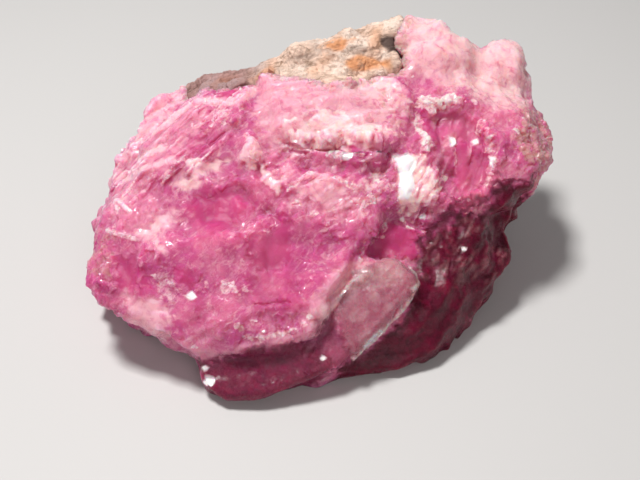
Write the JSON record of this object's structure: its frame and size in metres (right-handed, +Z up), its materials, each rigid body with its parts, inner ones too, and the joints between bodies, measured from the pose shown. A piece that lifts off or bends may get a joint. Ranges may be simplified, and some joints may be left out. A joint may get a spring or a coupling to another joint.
{
  "type": "cobaltoan calcite specimen",
  "caption": "Small broken mass of pink calcite crystals with a patch of rusty matrix rock on its back, for display on a shelf.",
  "frame": {"origin": "middle of the bounding box, on the flat cleavage face that the specimen rests on", "axes": "+Z up from the resting face, X along the specimen's length, -Y towards its broad front crystal face"},
  "size_m": [0.0396, 0.028, 0.0193],
  "materials": {
    "pink_calcite": "translucent vitreous pink, frosted in patches",
    "matrix": "rough earthy tan, with rusty orange and dark spots"
  },
  "bodies": {
    "root": {"calcite_crystals": "pink_calcite", "matrix_rock": "matrix"}
  },
  "joints": []
}
